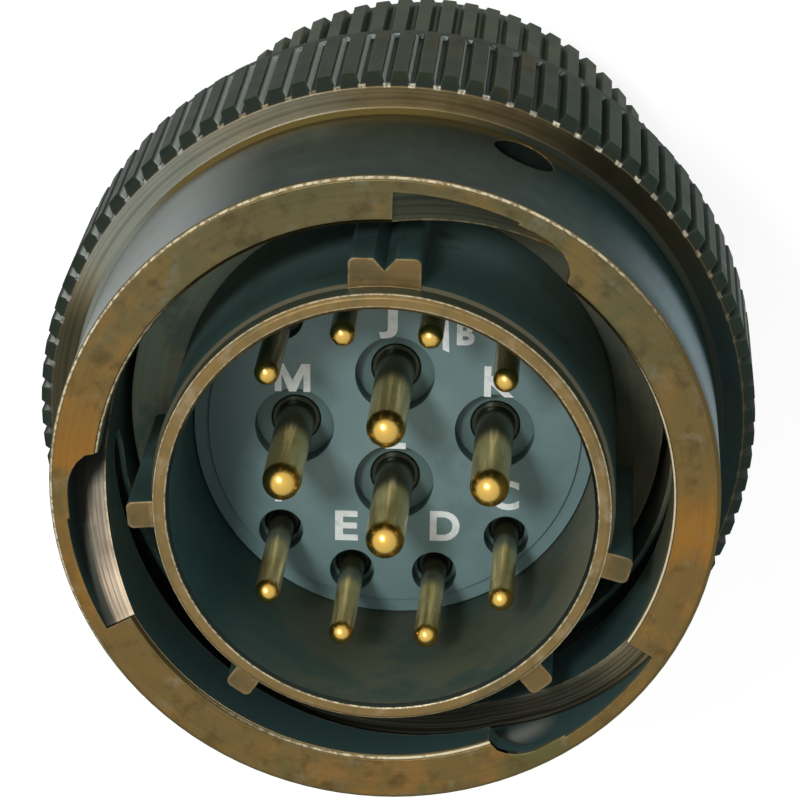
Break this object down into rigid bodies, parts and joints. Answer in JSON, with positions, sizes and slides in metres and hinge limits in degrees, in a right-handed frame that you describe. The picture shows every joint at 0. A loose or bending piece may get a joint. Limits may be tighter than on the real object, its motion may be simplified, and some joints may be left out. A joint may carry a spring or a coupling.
{
  "type": "circular cable connector plug",
  "caption": "Circular cable connector plug with gold pin contacts in a keyed barrel, a knurled bayonet coupling nut that turns and floats, and a knurled back nut with a cable entry.",
  "frame": {"origin": "centre of the rear end face of the back nut, on the surface that the plug stands on", "axes": "+Z along the connector axis, towards the mating end; +Y towards the main key"},
  "size_m": [0.0298, 0.0298, 0.0383],
  "materials": {
    "olive_metal": "olive drab plated aluminium, satin, worn bright on the edges",
    "steel": "plain spring steel",
    "insert": "blue-grey moulded insert",
    "wafer": "moulded brown",
    "grommet": "grey silicone rubber",
    "contact": "gold plated copper alloy"
  },
  "bodies": {
    "plug": {"shell": "olive_metal", "wave_washer": "steel", "retaining_ring": "steel", "pin_insert": "insert", "contact_wafer": "wafer", "insert_ring": "steel", "grommet": "grommet", "follower": "olive_metal", "back_nut": "olive_metal", "contact_a": "contact", "contact_b": "contact", "contact_c": "contact", "contact_d": "contact", "contact_e": "contact", "contact_f": "contact", "contact_g": "contact", "contact_h": "contact", "contact_j": "contact", "contact_k": "contact", "contact_l": "contact", "contact_m": "contact"},
    "thrust_washer": {"thrust_washer": "steel"},
    "coupling_nut": {"coupling_nut": "olive_metal"}
  },
  "joints": [
    {"name": "coupling_float", "type": "slide", "parent": "plug", "child": "thrust_washer", "axis": [0, 0, 1], "range_m": [0, 0.0006], "stiffness_N_per_m": 500, "springref_m": -0.0004, "deforming": ["wave_washer"]},
    {"name": "coupling_turn", "type": "hinge", "parent": "thrust_washer", "child": "coupling_nut", "pos_m": [0, 0, 0.0235], "axis": [0, 0, 1], "continuous": true}
  ]
}
